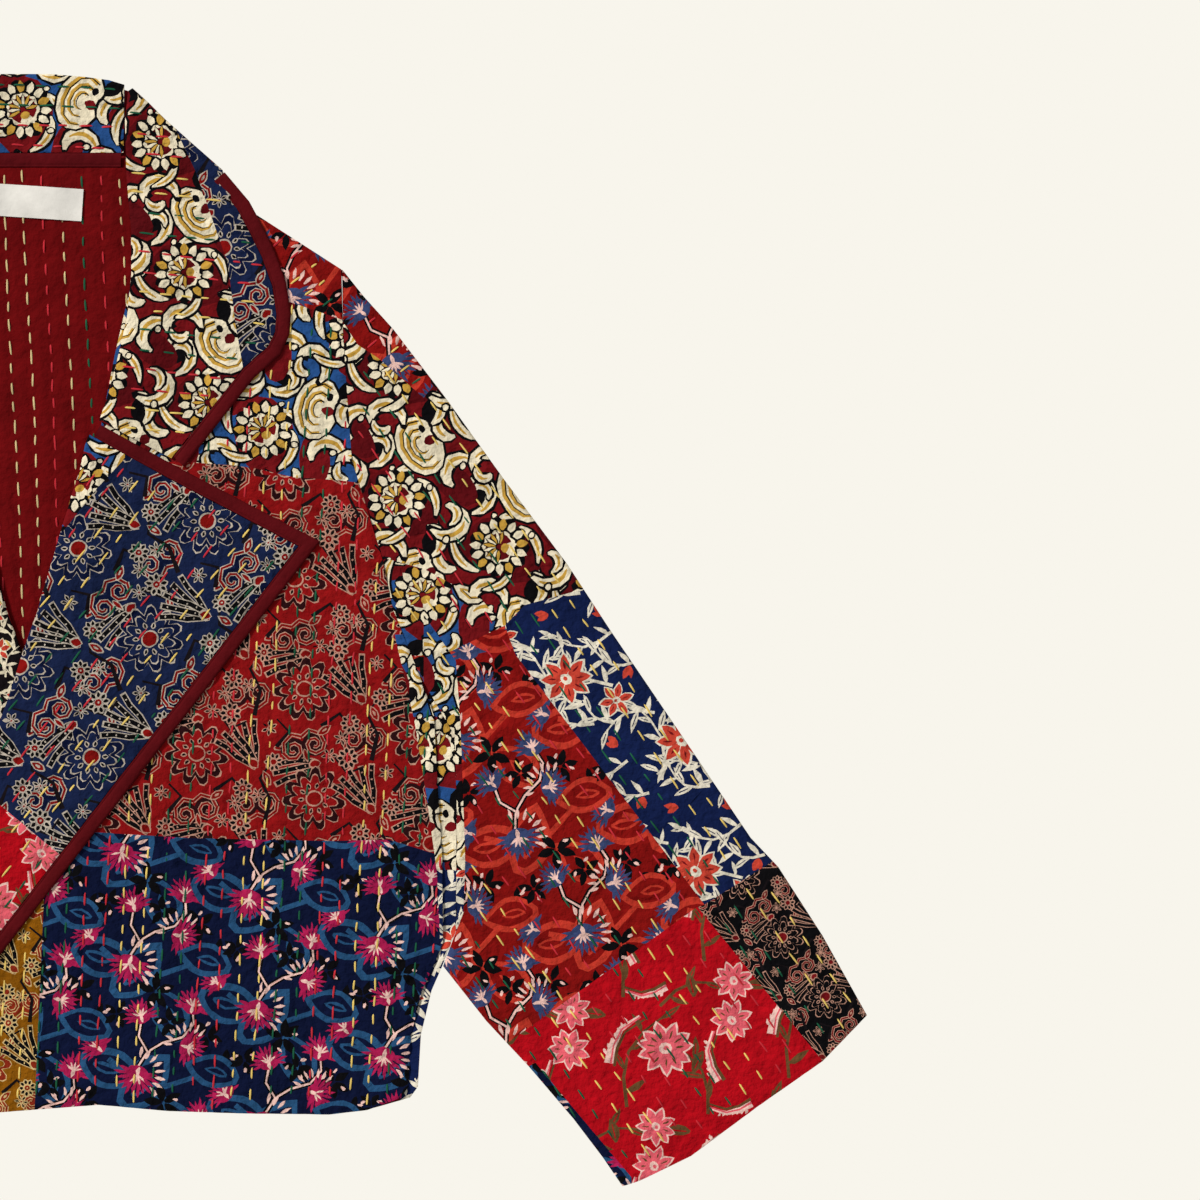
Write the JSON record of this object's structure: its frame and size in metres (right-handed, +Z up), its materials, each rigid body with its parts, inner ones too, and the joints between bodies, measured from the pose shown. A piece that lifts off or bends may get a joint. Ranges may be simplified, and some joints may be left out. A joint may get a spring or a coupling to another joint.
{
  "type": "kantha jacket",
  "caption": "Hip-length patchwork kantha jacket laid flat face up, with a bound notched collar, folded lapels crossed at the front and straight full-length sleeves.",
  "frame": {"origin": "middle of the laid-out garment's outline, on the surface that it lies on", "axes": "+X towards the wearer's left sleeve, +Y from the hem towards the neck, +Z up out of the front"},
  "size_m": [1.104, 0.728, 0.0139],
  "materials": {
    "patchwork": "block-printed cotton in many patches, matt, hand quilted",
    "lining": "plain maroon cotton, matt, hand quilted",
    "binding": "plain dark maroon cotton, folded and stitched",
    "label": "plain white woven tape",
    "thread": "cotton embroidery thread in running stitches"
  },
  "bodies": {
    "root": {"back_panel": "patchwork", "neck_lining": "lining", "neck_binding": "binding", "label_blank": "label", "collar_stand": "patchwork", "collar_fall": "patchwork", "front_left": "patchwork", "lapel_left": "patchwork", "lapel_binding_left": "binding", "collar_leaf_left": "patchwork", "collar_binding_left": "binding", "sleeve_left": "patchwork", "front_right": "patchwork", "lapel_right": "patchwork", "lapel_binding_right": "binding", "collar_leaf_right": "patchwork", "collar_binding_right": "binding", "sleeve_right": "patchwork"}
  },
  "joints": []
}
